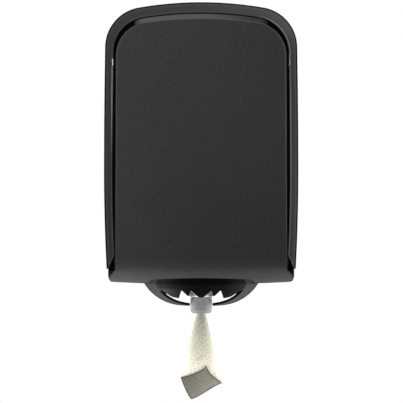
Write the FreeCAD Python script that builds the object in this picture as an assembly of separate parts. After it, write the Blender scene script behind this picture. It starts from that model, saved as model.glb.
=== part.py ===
import FreeCAD, Part
import math
import os
from FreeCAD import Vector

# Centrefeed roll dispenser for a wall. Sizes are in millimetres.
# X runs to the right, Y runs towards the wall and Z runs up. The wall is the plane Y = 0.
# Heights in this file count from the lowest line of the cover. write() then moves every
# piece, so that the origin lies on the wall at the centre of the four wall screw holes.

# Paper roll, which sets the size of the body through the room round it
ROLL_D = 190.0
ROLL_HEIGHT = 245.0
ROLL_BORE_D = 64.0
ROLL_BACK_GAP = 15.0
ROLL_FRONT_ROOM = 20.0
ROLL_SIDE_ROOM = 30.0
ROLL_HEAD_ROOM = 96.0
SHELF_HEIGHT = 16.0
SHELF_THICKNESS = 3.0
SHELF_TOP = SHELF_HEIGHT + SHELF_THICKNESS

# Overall size
WIDTH = ROLL_D + 2 * ROLL_SIDE_ROOM
HEIGHT = SHELF_TOP + ROLL_HEIGHT + ROLL_HEAD_ROOM
DEPTH = ROLL_BACK_GAP + ROLL_D + ROLL_FRONT_ROOM

# Wall mounting
MOUNT_HEIGHT = 190.0
MOUNT_X = 150.0
MOUNT_Z = 200.0
MOUNT_HOLE_R = 2.8

# Rear housing and its rim
RIM_DEPTH = 132.0
RIM_SPLIT = 70.0
RIM_LAP = 6.0
RIM_OVERHANG = 4.0
TONGUE_INSET = 1.3
LAP_GAP = 0.1
SHELL_WALL = 2.6
BACK_WALL = 3.0
LIP_THICKNESS = 3.0
SIDE_LOW = 17.5
WIDEST_HEIGHT = 144.0
SIDE_RADIUS_LOW = 2400.0
SIDE_RADIUS_HIGH = 8600.0
TOP_RADIUS = 470.0
RIM_CORNER_R = 52.0
RIM_EDGE_R = 5.0
LIP_SIDE = 11.1
LIP_TOP = 14.0
LIP_CORNER_R = 45.5
LIP_END_HEIGHT = 34.4
LIP_END_RUN = 7.6
LIP_END_BULGE_RUN = 3.9
LIP_END_BULGE_RISE = 0.6
LIP_END_SPARE = 0.001

# Cover
COVER_GAP = 0.9
SLEEVE_REACH = 20.0
SLEEVE_LOW = 110.0
COVER_WALL = 2.5
PANEL_THICKNESS = 2.2
PANEL_EDGE_R = 1.8
FRONT_SPARE = 5.0
PANEL_SIDE = 19.1
PANEL_DROP = 28.6
PANEL_CORNER_R = 41.3
PANEL_LOW_SPREAD = 1.5
PANEL_FLARE = 7.2
PANEL_FOOT_TOP = 10.0
PANEL_SIDE_R = 30000.0
PANEL_HALF = WIDTH / 2 - PANEL_SIDE
PANEL_TOP = HEIGHT - PANEL_DROP
PANEL_LOW_HALF = PANEL_HALF + PANEL_LOW_SPREAD
PANEL_FOOT_HALF = PANEL_LOW_HALF + PANEL_FLARE
TUB_SIDE = 5.6
TUB_GAP = 0.6
TUB_HALF = WIDTH / 2 - TUB_SIDE
TUB_TOP = SIDE_LOW - TUB_GAP
FOOT_CORNER_R = 5.0
BOTTOM_RADIUS = 2200.0
CROWN_RADIUS = 1500.0
CROWN_SPREAD = 8.0
UNDER_RADIUS = 36.0
UNDER_DROP = 0.6
FLANGE_WIDTH = 15.0

# Cut-out in the underside of the cover: each BACK is the setback of a place from the cover's front
CUT_GAP = 4.0
CUT_FRONT_BACK = 12.4
CUT_CORNER_BACK = 16.4
CUT_SIDE_BACK = 29.5
CUT_SIDE_IN = 7.8
CUT_CORNER_IN = 7.2

# Cover hinge
PIVOT_DEPTH = 14.0
PIVOT_HEIGHT = 8.5
EAR_R = 8.0
PIN_R = 2.5
PIN_PLAY = 0.05
PIN_HEAD_R = 4.0
PIN_HEAD = 1.5
LUG_R = 6.5
LUG_THICKNESS = 5.5
SIDE_PLAY = 0.5
HINGE_BAR = 6.0
HINGE_BAR_GAP = 12.0
HINGE_BAR_HEIGHT = 8.0

# Roll shelf
SHELF_SIDE = 4.0
SHELF_SHORT = 2.0
SHELF_CORNER_R = 60.0
SHELF_FLANGE_HEIGHT = 40.0
SHELF_HALF = ROLL_D / 2 + SHELF_SIDE
SHELF_FRONT = ROLL_BACK_GAP + ROLL_D - SHELF_SHORT
SHELF_RIB_IN = 8.0
SHELF_RIB_SHORT = 25.0
SHELF_RIB_RUN = 27.0
SHELF_RIB_GAP = 1.5
GUSSET_RUN = 20.0
RIB_THICKNESS = 2.5
BACK_RIB_X = 50.0
BACK_RIB_TALL = 180.0
BACK_RIB_GAP = 2.0
BOSS_DEPTH = 6.0
BOSS_R = 5.0
BOSS_FLOOR = 2.0
SHELF_SCREW_IN = (37.0, 14.0)
SHELF_SCREW_X = [SHELF_HALF - inset for inset in SHELF_SCREW_IN]
SHELF_SCREW_UP = 27.0
SHELF_SCREW_HEIGHT = SHELF_TOP + SHELF_SCREW_UP
SCREW_R = 1.9
SCREW_HEAD_R = 3.8
SCREW_HEAD = 2.4
SCREW_PLAY = 0.05
SMALL_SCREW_R = 1.45
SMALL_HEAD_R = 2.8
SMALL_HEAD = 1.8
TINY_SCREW_R = 1.15
TINY_HEAD_R = 2.2
TINY_HEAD = 1.4
SCREW_END_GAP = 0.4
RECESS_REACH = 0.55
RECESS_HALF = 0.12

# Outlet bowl and the tear plate in front of it, which meet in a plane that leans forward as it rises
BOWL_DROP = 30.0
BOWL_FLAT_R = 23.0
BOWL_CURVE_EASE = 8.5
BOWL_MARGIN = 15.0
BOWL_FLANGE_WIDTH = 10.0
BOWL_WALL = 2.5
BOWL_FLANGE = 3.0
BOWL_FLANGE_R = SHELF_HALF - BOWL_MARGIN
BOWL_R = BOWL_FLANGE_R - BOWL_FLANGE_WIDTH
BOWL_CURVE_R = BOWL_R - BOWL_FLAT_R + BOWL_CURVE_EASE
BOWL_SCREW_R = BOWL_FLANGE_R - BOWL_FLANGE_WIDTH / 2
BOWL_SCREW_ANGLES = (45, 135, 200, 340, 235, 305)
BOWL_HOLE_ROOM = 2.05
BOWL_FRONT = 33.0
BOWL_FRONT_HEIGHT = -28.0
BOWL_FRONT_LEAN = 0.5
ARM_GAP = 0.3
ARM_BOW = 1.5
ARM_PASS = 0.5
ARM_RISE = 2.4
TOOTH_TIP_Z = -18.5
TOOTH_ROOT_Z = -8.4
TOOTH_ROUND = 0.7
CENTRE_TOOTH_R = 7.4
INNER_ROOT_X = 13.0
SMALL_TIP_X = 16.3
SMALL_TIP_Z = -16.6
OUTER_ROOT_X = 24.9
LOBE_X = 28.4
LOBE_Z = -19.4
LOBE_ROUND = 1.5
SLIT_BEND_X = 38.5
SLIT_BEND_Z = -17.0
SLIT_BEND_R = 12.0
SLIT_END_X = 49.2
SLIT_END_Z = -9.4
SLIT_END_ROUND = 1.0
REAR_ARCH_HALF = 52.0
REAR_ARCH_TOP = -7.0
REAR_ARCH_SIDE = -20.0
REAR_ARCH_START = 4.0

# Nozzle
NOZZLE_R = 13.95
NOZZLE_TALL = 21.8
NOZZLE_BORE_R = 6.5
NOZZLE_CORNER_R = 4.5
NOZZLE_WALL = 3.05
COLLAR_OUT = 3.25
COLLAR_BOTTOM = -18.4
COLLAR_TALL = 16.4
CHAMFER = 0.8
SPIGOT_TALL = 10.6
NECK_BELOW = 6.0
FUNNEL_THROAT = 3.0
FUNNEL_FLANGE = 2.0
FUNNEL_LEDGE = 4.4
FUNNEL_WALL = 2.2
FUNNEL_PLAY = 0.3
RETAINER_ROOM = 0.8
RETAINER_WIDTH = 6.2
RETAINER_LIP = 3.4
RETAINER_TOP = 2.2
RETAINER_SCREW_IN = 2.6
RETAINER_SCREW_ANGLES = (90, 210, 330)
NOZZLE_BOTTOM = COLLAR_BOTTOM - NOZZLE_TALL
COLLAR_R = NOZZLE_R + COLLAR_OUT
SPIGOT_R = NOZZLE_R - NOZZLE_WALL
SPIGOT_BOTTOM = COLLAR_BOTTOM - SPIGOT_TALL
RETAINER_R = ROLL_BORE_D / 2 - RETAINER_ROOM
RETAINER_SCREW_R = RETAINER_R - RETAINER_SCREW_IN
FUNNEL_FLANGE_R = RETAINER_R - RETAINER_WIDTH
RETAINER_LIP_R = FUNNEL_FLANGE_R - RETAINER_LIP
FUNNEL_NECK_R = FUNNEL_FLANGE_R - FUNNEL_LEDGE
FUNNEL_MOUTH_R = FUNNEL_NECK_R - FUNNEL_WALL

# Side latches
LATCH_DROP = 77.5
LATCH_TALL = 14.0
LATCH_REACH = 36.0
LATCH_PIN_R = 1.5
LATCH_BOSS_R = 3.4
LATCH_WALL_GAP = 0.4
LATCH_ARM = 3.0
LATCH_GAP = 0.3
LATCH_NOSE_BACK = 10.5
LATCH_NOSE = 2.5
LATCH_HEIGHT = HEIGHT - LATCH_DROP
LATCH_PIN_DEPTH = RIM_DEPTH - LATCH_REACH
LATCH_NOSE_DEPTH = RIM_DEPTH - LATCH_NOSE_BACK
LATCH_PIN_HEAD_R = 2.3
LATCH_PIN_HEAD = 1.2
LATCH_EAR = 2.5
LATCH_SLOT_WIDTH = 2.2
LATCH_SLOT_TALL = 9.2
CATCH_TALL = 12.0
CATCH_DEEP = 6.0
SPRING_THICKNESS = 0.4
SPRING_TALL = 8.0
SPRING_START = 4.0
SPRING_GAP = 0.1

# Paper tail: each corner of the turned-up flap is (x, height above the skirt's hem)
TAIL_ROOM = 1.3
TAIL_HALF = 25.5
TAIL_HANG = 79.8
TAIL_DEPTH_HALF = 7.0
TAIL_PLEATS = 9
TAIL_VALLEY = 0.8
TAIL_SPREAD_SHARE = 0.4
TAIL_SEAT = 0.3
TAIL_REACH = 60.0
TAIL_BEND_UP = 10.0
STRAND_THINNER = 0.2
TAIL_FLAP = 2.5
TAIL_CORNER = ((-26.0, -3.2), (7.0, 11.5), (27.3, -11.0), (-12.4, -32.0))

AXIS_Y = -(ROLL_BACK_GAP + ROLL_D / 2)
RIM_Y = -RIM_DEPTH
LIP_BACK_Y = RIM_Y + LIP_THICKNESS
PIVOT = Vector(0, -PIVOT_DEPTH, PIVOT_HEIGHT)
AXIS = Vector(0, AXIS_Y, 0)
ALONG_X = Vector(1, 0, 0)
ALONG_Y = Vector(0, 1, 0)
UP = Vector(0, 0, 1)

# A cutting form reaches FAR where it goes right through, and else runs PAST the faces it cuts
FAR = 400.0
PAST = 1.0


def box(x0, x1, y0, y1, z0, z1):
    return Part.makeBox(x1 - x0, y1 - y0, z1 - z0, Vector(x0, y0, z0))


def cylinder(radius, start, end):
    run = end - start
    return Part.makeCylinder(radius, run.Length, start, run)


def mirrored(shape):
    return shape.mirror(Vector(0, 0, 0), ALONG_X)


def fused(first, *others):
    whole = first
    for other in others:
        whole = whole.fuse(other)
    return whole.removeSplitter()


def cut(shape, *tools):
    for tool in tools:
        shape = shape.cut(tool)
    return shape


def edge(start, middle, end):
    if middle is None:
        return Part.LineSegment(start, end).toShape()
    return Part.Arc(start, middle, end).toShape()


def wire(points):
    """A closed wire through points; a pair (middle, end) draws an arc to its end."""
    edges = []
    start = points[0]
    for step in points[1:] + [points[0]]:
        middle, end = step if isinstance(step, tuple) else (None, step)
        if (end - start).Length > 1e-6:
            edges.append(edge(start, middle, end))
        start = end
    return Part.Wire(edges)


def prism(points, run):
    return Part.Face(wire(points)).extrude(run)


def turned(points):
    """The solid that a profile of (radius, height) points makes when turned about the outlet axis."""
    placed = []
    for step in points:
        if isinstance(step[0], tuple):
            placed.append(tuple(Vector(r, AXIS_Y, z) for r, z in step))
        else:
            placed.append(Vector(step[0], AXIS_Y, step[1]))
    return Part.Face(wire(placed)).revolve(AXIS, UP, 360)


def circles_meet(c1, r1, c2, r2):
    """The point on the right where two circles cross, each given by its centre (x, z)."""
    dx = c2[0] - c1[0]
    dz = c2[1] - c1[1]
    gap = math.hypot(dx, dz)
    along = (r1 * r1 - r2 * r2 + gap * gap) / (2 * gap)
    off = math.sqrt(r1 * r1 - along * along)
    x = c1[0] + along * dx / gap
    z = c1[1] + along * dz / gap
    choices = [(x + off * dz / gap, z - off * dx / gap), (x - off * dz / gap, z + off * dx / gap)]
    return max(choices)


def away(centre, point, radius):
    """The point at that radius from the centre, on the line through point."""
    dx = point[0] - centre[0]
    dz = point[1] - centre[1]
    share = radius / math.hypot(dx, dz)
    return (centre[0] + dx * share, centre[1] + dz * share)


def upper_side(half, side_r, top, top_r, corner_r):
    """The right side above its widest height: the side's middle and end, the corner's middle and end."""
    side_c = (half - side_r, WIDEST_HEIGHT)
    top_c = (0.0, top - top_r)
    corner_c = circles_meet(side_c, side_r - corner_r, top_c, top_r - corner_r)
    side_end = away(side_c, corner_c, side_r)
    top_start = away(top_c, corner_c, top_r)
    halfway = ((side_end[0] + top_start[0]) / 2, (side_end[1] + top_start[1]) / 2)
    side_middle = away(side_c, (half, (WIDEST_HEIGHT + side_end[1]) / 2), side_r)
    return side_middle, side_end, away(corner_c, halfway, corner_r), top_start


def symmetric_wire(y, bottom_middle, right, top_middle):
    """A closed wire in the plane at y, from the steps up its right side, which the left side mirrors."""
    first = right[0]
    points = [Vector(first[0], y, first[1])]
    for step in right[1:]:
        if isinstance(step[0], tuple):
            points.append(tuple(Vector(x, y, z) for x, z in step))
        else:
            points.append(Vector(step[0], y, step[1]))
    ends = [step[1] if isinstance(step[0], tuple) else step for step in right]
    top = ends[-1]
    points.append((Vector(0, y, top_middle), Vector(-top[0], y, top[1])))
    for index in range(len(right) - 1, 0, -1):
        step = right[index]
        end = Vector(-ends[index - 1][0], y, ends[index - 1][1])
        if isinstance(step[0], tuple):
            points.append((Vector(-step[0][0], y, step[0][1]), end))
        else:
            points.append(end)
    if bottom_middle is None:
        return wire(points)
    points.append((Vector(0, y, bottom_middle), points[0]))
    return wire(points)


def housing_wire(y, inset=0.0, low=SIDE_LOW):
    """The outline of the housing at a depth, which widens a little from the wall to the rim."""
    narrower = RIM_OVERHANG * (1 - y / RIM_Y) + inset
    half = WIDTH / 2 - narrower
    top = HEIGHT - narrower
    middle, side_end, corner, top_start = upper_side(
        half, SIDE_RADIUS_HIGH, top, TOP_RADIUS, RIM_CORNER_R - inset
    )
    low_c = (half - SIDE_RADIUS_LOW, WIDEST_HEIGHT)
    low_middle = away(low_c, (half, (WIDEST_HEIGHT + low) / 2), SIDE_RADIUS_LOW)
    drop = WIDEST_HEIGHT - low
    low_x = low_c[0] + math.sqrt(SIDE_RADIUS_LOW**2 - drop**2)
    right = [
        (low_x, low),
        (low_middle, (half, WIDEST_HEIGHT)),
        (middle, side_end),
        (corner, top_start),
    ]
    return symmetric_wire(y, None, right, top)


def opening_wire(y, gap=0.0):
    """The inner edge of the rim's lip, or the same line drawn gap further in."""
    half = WIDTH / 2 - LIP_SIDE - gap
    top = HEIGHT - LIP_TOP - gap
    middle, side_end, corner, top_start = upper_side(
        half, SIDE_RADIUS_HIGH, top, TOP_RADIUS, LIP_CORNER_R - gap
    )
    low_c = (half - SIDE_RADIUS_LOW, WIDEST_HEIGHT)
    low_middle = away(low_c, (half, WIDEST_HEIGHT / 2), SIDE_RADIUS_LOW)
    low_x = low_c[0] + math.sqrt(SIDE_RADIUS_LOW**2 - WIDEST_HEIGHT**2)
    right = [
        (low_x, 0.0),
        (low_middle, (half, WIDEST_HEIGHT)),
        (middle, side_end),
        (corner, top_start),
    ]
    return symmetric_wire(y, None, right, top)


def mix(front, rear, share):
    return front + (rear - front) * share


def cover_wire(y, inset=0.0):
    """The outline of the cover at a depth, with its flared foot, from the panel to the rim."""
    share = (y + DEPTH) / (DEPTH + LIP_BACK_Y)
    rear_half = WIDTH / 2 - LIP_SIDE - COVER_GAP
    rear_top = HEIGHT - LIP_TOP - COVER_GAP
    rear_low = rear_half - (WIDEST_HEIGHT - TUB_TOP) ** 2 / (2 * SIDE_RADIUS_LOW)
    half = mix(PANEL_HALF, rear_half, share) - inset
    top = mix(PANEL_TOP, rear_top, share) - inset
    corner_r = mix(PANEL_CORNER_R, LIP_CORNER_R, share) - inset
    side_r = 1 / mix(1 / PANEL_SIDE_R, 1 / SIDE_RADIUS_HIGH, share)
    low_half = mix(PANEL_LOW_HALF, rear_low, share) - inset
    foot_half = mix(PANEL_FOOT_HALF, TUB_HALF, share) - inset
    flare = inset * math.tan(math.radians(22.5))
    foot_top = mix(PANEL_FOOT_TOP, TUB_TOP, share) - flare
    flare_top = foot_top + foot_half - low_half
    middle, side_end, corner, top_start = upper_side(half, side_r, top, TOP_RADIUS, corner_r)
    bulge = mix(0.0, (WIDEST_HEIGHT - TUB_TOP) ** 2 / (8 * SIDE_RADIUS_LOW), share)
    low_middle = ((half + low_half) / 2 + bulge, (WIDEST_HEIGHT + flare_top) / 2)
    r = FOOT_CORNER_R
    base = foot_half**2 / (2 * BOTTOM_RADIUS) + inset
    ease = r * (1 - math.sqrt(0.5))
    right = [
        (foot_half - r, base),
        ((foot_half - ease, base + ease), (foot_half, base + r)),
        (foot_half, foot_top),
        (low_half, flare_top),
        (low_middle, (half, WIDEST_HEIGHT)),
        (middle, side_end),
        (corner, top_start),
    ]
    return symmetric_wire(y, inset, right, top)


def loft(first, second):
    return Part.makeLoft([first, second], True, True)


def tongue(gap):
    """The thin front end of the tray, which the rim laps over. gap makes the rim's room for it."""
    low = SIDE_LOW - gap
    start = housing_wire(-RIM_SPLIT / 2, TONGUE_INSET - gap, low)
    end = housing_wire(-RIM_SPLIT - RIM_LAP - gap, TONGUE_INSET - gap, low)
    return loft(start, end)


def inside(rear_y, front_y):
    """The hollow of the tray and rim between two depths, which runs on out through the open bottom."""
    low = -SIDE_LOW
    return loft(housing_wire(rear_y, SHELL_WALL, low), housing_wire(front_y, SHELL_WALL, low))


def rear_housing():
    """The tray on the wall, with the hinge lugs, screw bosses and the ribs behind the roll."""
    outer = loft(housing_wire(0), housing_wire(-RIM_SPLIT))
    shell = cut(fused(outer, tongue(0)), inside(-BACK_WALL, -RIM_SPLIT - RIM_LAP - PAST))
    skirt_half = TUB_HALF - COVER_WALL - SIDE_PLAY
    skirt_low = PIVOT_HEIGHT - LUG_R
    skirt = box(-skirt_half, skirt_half, -BACK_WALL, 0, skirt_low, SIDE_LOW)
    pieces = [skirt]
    lug_in = skirt_half - LUG_THICKNESS
    for side in (-1, 1):
        start = Vector(side * lug_in, PIVOT.y, PIVOT.z)
        end = Vector(side * skirt_half, PIVOT.y, PIVOT.z)
        low_x, high_x = sorted((start.x, end.x))
        pieces.append(cylinder(LUG_R, start, end))
        pieces.append(box(low_x, high_x, PIVOT.y, -BACK_WALL, skirt_low, PIVOT.z + LUG_R))
        for x in SHELF_SCREW_X:
            foot = Vector(side * x, -BACK_WALL, SHELF_SCREW_HEIGHT)
            pieces.append(cylinder(BOSS_R, foot, foot - ALONG_Y * BOSS_DEPTH))
    rib_y = AXIS_Y + math.sqrt((ROLL_D / 2) ** 2 - BACK_RIB_X**2) + BACK_RIB_GAP
    rib_low = SHELF_TOP + SHELF_FLANGE_HEIGHT + BACK_RIB_GAP
    for side in (-1, 1):
        x = side * BACK_RIB_X - RIB_THICKNESS / 2
        pieces.append(box(x, x + RIB_THICKNESS, rib_y, -BACK_WALL, rib_low, rib_low + BACK_RIB_TALL))
    shell = fused(shell, *pieces)
    holes = [cylinder(PIN_R, PIVOT - ALONG_X * FAR, PIVOT + ALONG_X * FAR)]
    for side in (-1, 1):
        for x in SHELF_SCREW_X:
            deep = Vector(side * x, BOSS_FLOOR - BACK_WALL, SHELF_SCREW_HEIGHT)
            holes.append(cylinder(SCREW_R + SCREW_PLAY, deep, deep - ALONG_Y * FAR))
        for up in (-1, 1):
            at = Vector(side * MOUNT_X / 2, PAST, MOUNT_HEIGHT + up * MOUNT_Z / 2)
            holes.append(cylinder(MOUNT_HOLE_R, at, at - ALONG_Y * (BACK_WALL + 2 * PAST)))
    return cut(shell, *holes)


def latch_place(side):
    """The middle of a latch's pin, whose boss just clears the rim's wall."""
    x = housing_half(-LATCH_PIN_DEPTH, LATCH_HEIGHT) - SHELL_WALL - LATCH_BOSS_R - LATCH_WALL_GAP
    return Vector(side * x, -LATCH_PIN_DEPTH, LATCH_HEIGHT)


def frame_rim():
    """The satin horseshoe round the cover, with its lip, tapered ends and the ears of the latches."""
    split_y = -RIM_SPLIT
    outer = loft(housing_wire(split_y), housing_wire(RIM_Y))
    rounded = outer.makeFillet(RIM_EDGE_R, front_edges(outer, RIM_Y))
    front_y = RIM_Y - PAST
    opening = Part.Face(opening_wire(front_y)).extrude(ALONG_Y * (LIP_THICKNESS + 2 * PAST))
    rim = cut(rounded, inside(split_y + PAST, LIP_BACK_Y), opening, tongue(LAP_GAP))
    ends = []
    lip_x = opening_half(LIP_END_HEIGHT)
    bulge_x = lip_x + LIP_END_BULGE_RUN
    bulge_z = (LIP_END_HEIGHT + SIDE_LOW) / 2 + LIP_END_BULGE_RISE
    for side in (-1, 1):
        corner = [
            Vector(0, front_y, LIP_END_HEIGHT + PAST),
            Vector(side * lip_x, front_y, LIP_END_HEIGHT),
            (
                Vector(side * bulge_x, front_y, bulge_z),
                Vector(side * (lip_x + LIP_END_RUN), front_y, SIDE_LOW - PAST),
            ),
            Vector(0, front_y, SIDE_LOW - PAST),
        ]
        ends.append(prism(corner, ALONG_Y * (LIP_THICKNESS + PAST + LIP_END_SPARE)))
        slot_x = opening_half(LATCH_HEIGHT) + LATCH_SLOT_WIDTH
        slot_low = LATCH_HEIGHT - LATCH_SLOT_TALL / 2
        low_x, high_x = sorted((0, side * slot_x))
        ends.append(
            box(low_x, high_x, front_y, LIP_BACK_Y + PAST, slot_low, slot_low + LATCH_SLOT_TALL)
        )
    rim = cut(rim, *ends)
    ears = []
    for side in (-1, 1):
        at = latch_place(side)
        for up in (-1, 1):
            near = LATCH_HEIGHT + up * (LATCH_TALL / 2 + LATCH_GAP)
            low_z, high_z = sorted((near, near + up * LATCH_EAR))
            outer_x = side * (housing_half(at.y, near) - SHELL_WALL / 2)
            low_x, high_x = sorted((at.x, outer_x))
            round_end = cylinder(LATCH_BOSS_R, Vector(at.x, at.y, low_z), Vector(at.x, at.y, high_z))
            web = box(low_x, high_x, at.y - LATCH_BOSS_R, at.y + LATCH_BOSS_R, low_z, high_z)
            ears.append(round_end)
            ears.append(web)
    rim = fused(rim, *ears)
    holes = []
    for side in (-1, 1):
        at = latch_place(side)
        holes.append(cylinder(LATCH_PIN_R, at - UP * LATCH_TALL, at + UP * LATCH_TALL))
    return cut(rim, *holes)


def housing_half(y, height):
    """Half the outer width of the housing at a depth and a height above its widest place."""
    half = WIDTH / 2 - RIM_OVERHANG * (1 - y / RIM_Y)
    return half - SIDE_RADIUS_HIGH + math.sqrt(SIDE_RADIUS_HIGH**2 - (height - WIDEST_HEIGHT) ** 2)


def front_edges(shape, y):
    """The edges that lie in the plane at y, apart from the straight ones along the bottom."""
    found = []
    for item in shape.Edges:
        bounds = item.BoundBox
        flat = abs(bounds.YMin - y) < 1e-4 and abs(bounds.YMax - y) < 1e-4
        if flat and bounds.ZLength > 0.5:
            found.append(item)
    return found


def opening_half(height):
    """Half the width of the rim's opening at a height."""
    half = WIDTH / 2 - LIP_SIDE
    radius = SIDE_RADIUS_LOW if height < WIDEST_HEIGHT else SIDE_RADIUS_HIGH
    return half - radius + math.sqrt(radius**2 - (height - WIDEST_HEIGHT) ** 2)


def front_form(inset):
    """All that lies behind the crowned front, whose lower end curves under in one large radius."""
    front = -DEPTH + inset
    centre_y = -DEPTH + UNDER_RADIUS
    centre_z = UNDER_RADIUS - UNDER_DROP
    radius = UNDER_RADIUS - inset
    slant = radius * math.sqrt(0.5)
    back = SIDE_LOW
    high = HEIGHT + SIDE_LOW
    low = -SIDE_LOW
    points = [
        Vector(0, front, high),
        Vector(0, front, centre_z),
        (Vector(0, centre_y - slant, centre_z - slant), Vector(0, centre_y, centre_z - radius)),
        Vector(0, centre_y, low),
        Vector(0, back, low),
        Vector(0, back, high),
    ]
    face = Part.Face(wire(points))
    axis = Vector(0, -DEPTH + CROWN_RADIUS, 0)
    face.rotate(axis, UP, -CROWN_SPREAD)
    return face.revolve(axis, UP, 2 * CROWN_SPREAD)


def cover_body():
    """The outside of the cover as one solid: the drafted front, the sleeve behind the lip and the tub."""
    front = loft(cover_wire(-DEPTH - FRONT_SPARE), cover_wire(LIP_BACK_Y)).common(front_form(0))
    crown = min(front.Faces, key=lambda face: face.CenterOfMass.y)
    rising = [item for item in crown.Edges if item.BoundBox.ZLength > PANEL_EDGE_R]
    front = front.makeFillet(PANEL_EDGE_R, rising)
    section = Part.Face(cover_wire(LIP_BACK_Y))
    sleeve = section.extrude(ALONG_Y * (SLEEVE_REACH - LIP_THICKNESS))
    sleeve = sleeve.common(box(-FAR, FAR, -FAR, FAR, SLEEVE_LOW, FAR))
    tub = section.extrude(ALONG_Y * (PIVOT.y + EAR_R - LIP_BACK_Y))
    tub = tub.common(box(-FAR, FAR, -FAR, FAR, -FAR, TUB_TOP))
    return fused(front, sleeve, tub)


def cover_hollow():
    front = loft(cover_wire(-DEPTH - FRONT_SPARE, COVER_WALL), cover_wire(LIP_BACK_Y, COVER_WALL))
    front = front.common(front_form(PANEL_THICKNESS + COVER_WALL))
    rear = Part.Face(cover_wire(LIP_BACK_Y, COVER_WALL)).extrude(ALONG_Y * FAR)
    return fused(front, rear)


def cover_cut_out():
    """The hole in the underside for the outlet bowl, which runs forward into the curve of the front."""
    radius = BOWL_R + CUT_GAP
    side_x = radius - CUT_SIDE_IN
    corner_x = side_x - CUT_CORNER_IN
    meet_y = AXIS_Y - math.sqrt(radius**2 - side_x**2)
    side_y = CUT_SIDE_BACK - DEPTH
    corner_y = CUT_CORNER_BACK - DEPTH
    low = -SIDE_LOW
    points = [
        Vector(side_x, meet_y, low),
        (Vector(0, AXIS_Y + radius, low), Vector(-side_x, meet_y, low)),
        Vector(-side_x, side_y, low),
        Vector(-corner_x, corner_y, low),
        (Vector(0, CUT_FRONT_BACK - DEPTH, low), Vector(corner_x, corner_y, low)),
        Vector(side_x, side_y, low),
    ]
    return prism(points, UP * (SHELF_HEIGHT - low))


def front_panel(body):
    """The matte skin over the front of the cover, down round its curved lower end."""
    return cut(body, front_form(PANEL_THICKNESS), cover_cut_out())


def panel_window():
    """The opening in the shell behind the panel, which leaves a flange for the panel all round."""
    half = PANEL_HALF - FLANGE_WIDTH
    low = UNDER_RADIUS + FLANGE_WIDTH
    top = PANEL_TOP - FLANGE_WIDTH
    window = box(-half, half, -DEPTH - PAST, -DEPTH + UNDER_RADIUS, low, top)
    upright = [item for item in window.Edges if item.BoundBox.YLength > PAST]
    return window.makeFillet(PANEL_CORNER_R - FLANGE_WIDTH, upright)


def catch_windows():
    """The two holes in the cover's side walls that the latches' noses reach into."""
    low_z = LATCH_HEIGHT - CATCH_TALL / 2
    front = -LATCH_NOSE_DEPTH - CATCH_DEEP / 2
    windows = []
    for side in (-1, 1):
        low_x, high_x = sorted((side * (TUB_HALF - FLANGE_WIDTH), latch_place(side).x))
        windows.append(box(low_x, high_x, front, front + CATCH_DEEP, low_z, low_z + CATCH_TALL))
    return windows


def cover_shell(body):
    """The gloss moulding behind the panel: drafted side walls, underside, hinge ears and catch windows."""
    shell = body.common(front_form(PANEL_THICKNESS))
    shell = cut(shell, cover_hollow())
    bar_front = PIVOT.y - HINGE_BAR_GAP - HINGE_BAR
    inner_half = TUB_HALF - COVER_WALL
    bar = box(-inner_half, inner_half, bar_front, bar_front + HINGE_BAR, COVER_WALL, HINGE_BAR_HEIGHT)
    shell = fused(shell, bar)
    rear_gap = box(-inner_half, inner_half, bar_front + HINGE_BAR, FAR, -FAR, FAR)
    behind = box(-FAR, FAR, PIVOT.y, FAR, -FAR, FAR)
    ear = cylinder(EAR_R, PIVOT - ALONG_X * FAR, PIVOT + ALONG_X * FAR)
    pin_hole = cylinder(PIN_R + PIN_PLAY, PIVOT - ALONG_X * FAR, PIVOT + ALONG_X * FAR)
    return cut(
        shell, panel_window(), cover_cut_out(), rear_gap, behind.cut(ear), pin_hole, *catch_windows()
    )


def hinge_pin():
    """The right hinge pin, pushed outwards through the lug into the cover's ear."""
    lug_in = TUB_HALF - COVER_WALL - SIDE_PLAY - LUG_THICKNESS
    head = PIVOT + ALONG_X * lug_in
    shank = cylinder(PIN_R, head, PIVOT + ALONG_X * (TUB_HALF - SIDE_PLAY))
    return fused(cylinder(PIN_HEAD_R, head - ALONG_X * PIN_HEAD, head), shank)


def screw(seat, way, length, radius, head_r, head):
    """A screw with a cross recess: seat is where its head bears, and way points along its shank."""
    body = fused(cylinder(head_r, seat - way * head, seat), cylinder(radius, seat, seat + way * length))
    across = ALONG_X if abs(way.z) > 0.5 else UP
    other = way.cross(across)
    reach = head_r * RECESS_REACH
    half = head_r * RECESS_HALF
    for line, beside in ((across, other), (other, across)):
        corner = seat - way * (head + PAST) - line * reach - beside * half
        far = corner + line * 2 * reach
        points = [corner, far, far + beside * 2 * half, corner + beside * 2 * half]
        body = body.cut(prism(points, way * (PAST + head / 2)))
    return body


def screw_hole(radius, start, way, length):
    """The form that cuts a screw's hole, along way from start, through what is length thick."""
    return cylinder(radius + SCREW_PLAY, start - way * PAST, start + way * (length + PAST))


def shelf_screws():
    """The four screws through the shelf's flange into the bosses of the housing."""
    seat_y = -BACK_WALL - BOSS_DEPTH - SHELF_THICKNESS
    length = SHELF_THICKNESS + BOSS_DEPTH
    screws = []
    for side in (-1, 1):
        for x in SHELF_SCREW_X:
            seat = Vector(side * x, seat_y, SHELF_SCREW_HEIGHT)
            screws.append(screw(seat, ALONG_Y, length, SCREW_R, SCREW_HEAD_R, SCREW_HEAD))
    return Part.makeCompound(screws)


def round_about(radius, angles, height):
    """Points round the outlet axis, at angles that count from the right."""
    places = []
    for angle in angles:
        turn = math.radians(angle)
        places.append(Vector(radius * math.cos(turn), AXIS_Y + radius * math.sin(turn), height))
    return places


def bowl_screw_places():
    return round_about(BOWL_SCREW_R, BOWL_SCREW_ANGLES, SHELF_HEIGHT - BOWL_FLANGE)


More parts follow.
